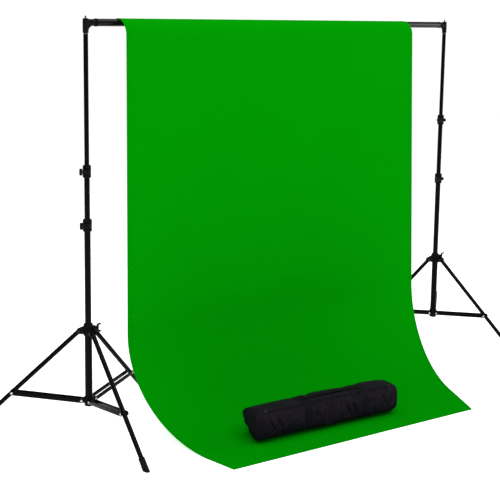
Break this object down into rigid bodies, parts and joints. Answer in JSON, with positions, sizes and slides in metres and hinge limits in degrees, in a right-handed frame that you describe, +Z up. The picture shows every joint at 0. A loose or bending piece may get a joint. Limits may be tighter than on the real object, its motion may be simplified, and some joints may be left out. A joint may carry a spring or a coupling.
{
  "type": "background support system",
  "caption": "Freestanding backdrop frame: folding tripod stands carrying a sectional crossbar, a cloth hung from it that sweeps onto the floor, and a long carry bag.",
  "frame": {"origin": "middle of the footprint of the whole set, on the floor", "axes": "+X along the crossbar towards the right stand, +Z up, the cloth sweeps out towards -Y"},
  "size_m": [2.7212, 1.0652, 1.512],
  "materials": {
    "paint": "satin black",
    "bar_paint": "satin black",
    "plastic": "fine-textured black",
    "rubber": "matt black",
    "steel": "dark plated",
    "cloth": "plain matt weave, green",
    "bag": "woven nylon, near black",
    "webbing": "woven webbing, near black"
  },
  "bodies": {
    "left_base": {"left_base_tube": "paint", "left_column_sleeve": "paint", "left_lower_hub": "plastic", "left_lower_lock": "plastic", "cloth_sweep": "cloth"},
    "left_middle": {"left_middle_tube": "paint", "left_middle_bush": "plastic", "left_upper_lock": "plastic"},
    "crossbar": {"left_top_tube": "paint", "left_top_bush": "plastic", "left_top_stud": "steel", "left_bar_end": "plastic", "bar_section_1": "bar_paint", "bar_section_2": "bar_paint", "bar_section_3": "bar_paint", "right_bar_end": "plastic", "cloth_curtain": "cloth"},
    "right_top": {"right_top_tube": "paint", "right_top_bush": "plastic", "right_top_stud": "steel"},
    "right_middle": {"right_middle_tube": "paint", "right_middle_bush": "plastic", "right_upper_lock": "plastic"},
    "right_base": {"right_base_tube": "paint", "right_column_sleeve": "paint", "right_lower_hub": "plastic", "right_lower_lock": "plastic"},
    "bag": {"bag_body": "bag", "bag_band_1": "webbing", "bag_band_2": "webbing", "bag_handle": "webbing"},
    "left_collar": {"left_leg_collar": "plastic"},
    "left_leg_1": {"left_leg_1": "paint", "left_foot_1": "rubber"},
    "left_brace_1": {"left_brace_1": "paint"},
    "left_leg_2": {"left_leg_2": "paint", "left_foot_2": "rubber"},
    "left_brace_2": {"left_brace_2": "paint"},
    "left_leg_3": {"left_leg_3": "paint", "left_foot_3": "rubber"},
    "left_brace_3": {"left_brace_3": "paint"},
    "left_collar_screw": {"left_collar_screw": "plastic"},
    "left_lower_knob": {"left_lower_knob": "plastic"},
    "left_upper_knob": {"left_upper_knob": "plastic"},
    "right_collar": {"right_leg_collar": "plastic"},
    "right_leg_1": {"right_leg_1": "paint", "right_foot_1": "rubber"},
    "right_brace_1": {"right_brace_1": "paint"},
    "right_leg_2": {"right_leg_2": "paint", "right_foot_2": "rubber"},
    "right_brace_2": {"right_brace_2": "paint"},
    "right_leg_3": {"right_leg_3": "paint", "right_foot_3": "rubber"},
    "right_brace_3": {"right_brace_3": "paint"},
    "right_collar_screw": {"right_collar_screw": "plastic"},
    "right_lower_knob": {"right_lower_knob": "plastic"},
    "right_upper_knob": {"right_upper_knob": "plastic"}
  },
  "joints": [
    {"name": "left_lower_slide", "type": "slide", "parent": "left_base", "child": "left_middle", "axis": [0, 0, 1], "range_m": [-0.145, 0.26], "deforming": ["cloth_curtain"]},
    {"name": "left_upper_slide", "type": "slide", "parent": "left_middle", "child": "crossbar", "axis": [0, 0, 1], "range_m": [-0.37, 0.03], "deforming": ["cloth_curtain"]},
    {"name": "right_stand_swivel", "type": "hinge", "parent": "crossbar", "child": "right_top", "pos_m": [0.99561, 0.24041, 1.452], "axis": [0, 0, 1], "range_deg": [-15, 15]},
    {"name": "right_upper_slide", "type": "slide", "parent": "right_top", "child": "right_middle", "axis": [0, 0, -1], "range_m": [-0.37, 0.03]},
    {"name": "right_lower_slide", "type": "slide", "parent": "right_middle", "child": "right_base", "axis": [0, 0, -1], "range_m": [-0.145, 0.26]},
    {"name": "bag_lift", "type": "slide", "parent": "left_base", "child": "bag", "axis": [0, 0, 1], "range_m": [0, 0.3]},
    {"name": "left_collar_slide", "type": "slide", "parent": "left_base", "child": "left_collar", "axis": [0, 0, 1], "range_m": [0, 0.3288]},
    {"name": "left_leg_1_fold", "type": "hinge", "parent": "left_collar", "child": "left_leg_1", "pos_m": [-1.00982, 0.20685, 0.382], "axis": [0.9871, -0.1599, 0], "range_deg": [0, 46.87]},
    {"name": "left_brace_1_fold", "type": "hinge", "parent": "left_base", "child": "left_brace_1", "pos_m": [-1.00854, 0.21475, 0.122], "axis": [-0.9871, 0.1599, 0], "range_deg": [0, 81.28]},
    {"name": "left_leg_2_fold", "type": "hinge", "parent": "left_collar", "child": "left_leg_2", "pos_m": [-0.9726, 0.25249, 0.382], "axis": [-0.3551, 0.9348, 0], "range_deg": [0, 46.87]},
    {"name": "left_brace_2_fold", "type": "hinge", "parent": "left_base", "child": "left_brace_2", "pos_m": [-0.98008, 0.24965, 0.122], "axis": [0.3551, -0.9348, 0], "range_deg": [0, 81.28]},
    {"name": "left_leg_3_fold", "type": "hinge", "parent": "left_collar", "child": "left_leg_3", "pos_m": [-1.03074, 0.2619, 0.382], "axis": [-0.632, -0.7749, 0], "range_deg": [0, 46.87]},
    {"name": "left_brace_3_fold", "type": "hinge", "parent": "left_base", "child": "left_brace_3", "pos_m": [-1.02454, 0.25684, 0.122], "axis": [0.632, 0.7749, 0], "range_deg": [0, 81.28]},
    {"name": "left_collar_screw_turn", "type": "hinge", "parent": "left_collar", "child": "left_collar_screw", "pos_m": [-1.00439, 0.24041, 0.396], "axis": [0.7749, -0.632, 0], "range_deg": [-180, 180]},
    {"name": "left_lower_knob_turn", "type": "hinge", "parent": "left_base", "child": "left_lower_knob", "pos_m": [-1.01586, 0.22415, 0.772], "axis": [-0.8171, 0.5764, 0], "range_deg": [-180, 180]},
    {"name": "left_upper_knob_turn", "type": "hinge", "parent": "left_middle", "child": "left_upper_knob", "pos_m": [-1.01499, 0.22538, 0.966], "axis": [-0.8171, 0.5764, 0], "range_deg": [-180, 180]},
    {"name": "right_collar_slide", "type": "slide", "parent": "right_base", "child": "right_collar", "axis": [0, 0, 1], "range_m": [0, 0.3288]},
    {"name": "right_leg_1_fold", "type": "hinge", "parent": "right_collar", "child": "right_leg_1", "pos_m": [0.99999, 0.20669, 0.382], "axis": [0.9917, 0.1288, 0], "range_deg": [0, 46.87]},
    {"name": "right_brace_1_fold", "type": "hinge", "parent": "right_base", "child": "right_brace_1", "pos_m": [0.99896, 0.21463, 0.122], "axis": [-0.9917, -0.1288, 0], "range_deg": [0, 81.28]},
    {"name": "right_leg_2_fold", "type": "hinge", "parent": "right_collar", "child": "right_leg_2", "pos_m": [1.02262, 0.26106, 0.382], "axis": [-0.6074, 0.7944, 0], "range_deg": [0, 46.87]},
    {"name": "right_brace_2_fold", "type": "hinge", "parent": "right_base", "child": "right_brace_2", "pos_m": [1.01627, 0.2562, 0.122], "axis": [0.6074, -0.7944, 0], "range_deg": [0, 81.28]},
    {"name": "right_leg_3_fold", "type": "hinge", "parent": "right_collar", "child": "right_leg_3", "pos_m": [0.96422, 0.25348, 0.382], "axis": [-0.3843, -0.9232, 0], "range_deg": [0, 46.87]},
    {"name": "right_brace_3_fold", "type": "hinge", "parent": "right_base", "child": "right_brace_3", "pos_m": [0.97161, 0.2504, 0.122], "axis": [0.3843, 0.9232, 0], "range_deg": [0, 81.28]},
    {"name": "right_collar_screw_turn", "type": "hinge", "parent": "right_collar", "child": "right_collar_screw", "pos_m": [0.99561, 0.24041, 0.396], "axis": [0.9232, -0.3843, 0], "range_deg": [-180, 180]},
    {"name": "right_lower_knob_turn", "type": "hinge", "parent": "right_base", "child": "right_lower_knob", "pos_m": [0.98926, 0.22155, 0.772], "axis": [-0.9478, 0.319, 0], "range_deg": [-180, 180]},
    {"name": "right_upper_knob_turn", "type": "hinge", "parent": "right_middle", "child": "right_upper_knob", "pos_m": [0.98974, 0.22297, 1.049], "axis": [-0.9478, 0.319, 0], "range_deg": [-180, 180]}
  ],
  "couplings": [
    {"joint": "right_upper_slide", "follows": "left_upper_slide", "ratio": 1},
    {"joint": "right_lower_slide", "follows": "left_lower_slide", "ratio": 1},
    {"joint": "left_leg_1_fold", "follows": "left_collar_slide", "rad_per_m": 2.485},
    {"joint": "left_brace_1_fold", "follows": "left_collar_slide", "rad_per_m": 4.312},
    {"joint": "left_leg_2_fold", "follows": "left_collar_slide", "rad_per_m": 2.485},
    {"joint": "left_brace_2_fold", "follows": "left_collar_slide", "rad_per_m": 4.312},
    {"joint": "left_leg_3_fold", "follows": "left_collar_slide", "rad_per_m": 2.485},
    {"joint": "left_brace_3_fold", "follows": "left_collar_slide", "rad_per_m": 4.312},
    {"joint": "right_leg_1_fold", "follows": "right_collar_slide", "rad_per_m": 2.485},
    {"joint": "right_brace_1_fold", "follows": "right_collar_slide", "rad_per_m": 4.312},
    {"joint": "right_leg_2_fold", "follows": "right_collar_slide", "rad_per_m": 2.485},
    {"joint": "right_brace_2_fold", "follows": "right_collar_slide", "rad_per_m": 4.312},
    {"joint": "right_leg_3_fold", "follows": "right_collar_slide", "rad_per_m": 2.485},
    {"joint": "right_brace_3_fold", "follows": "right_collar_slide", "rad_per_m": 4.312}
  ]
}
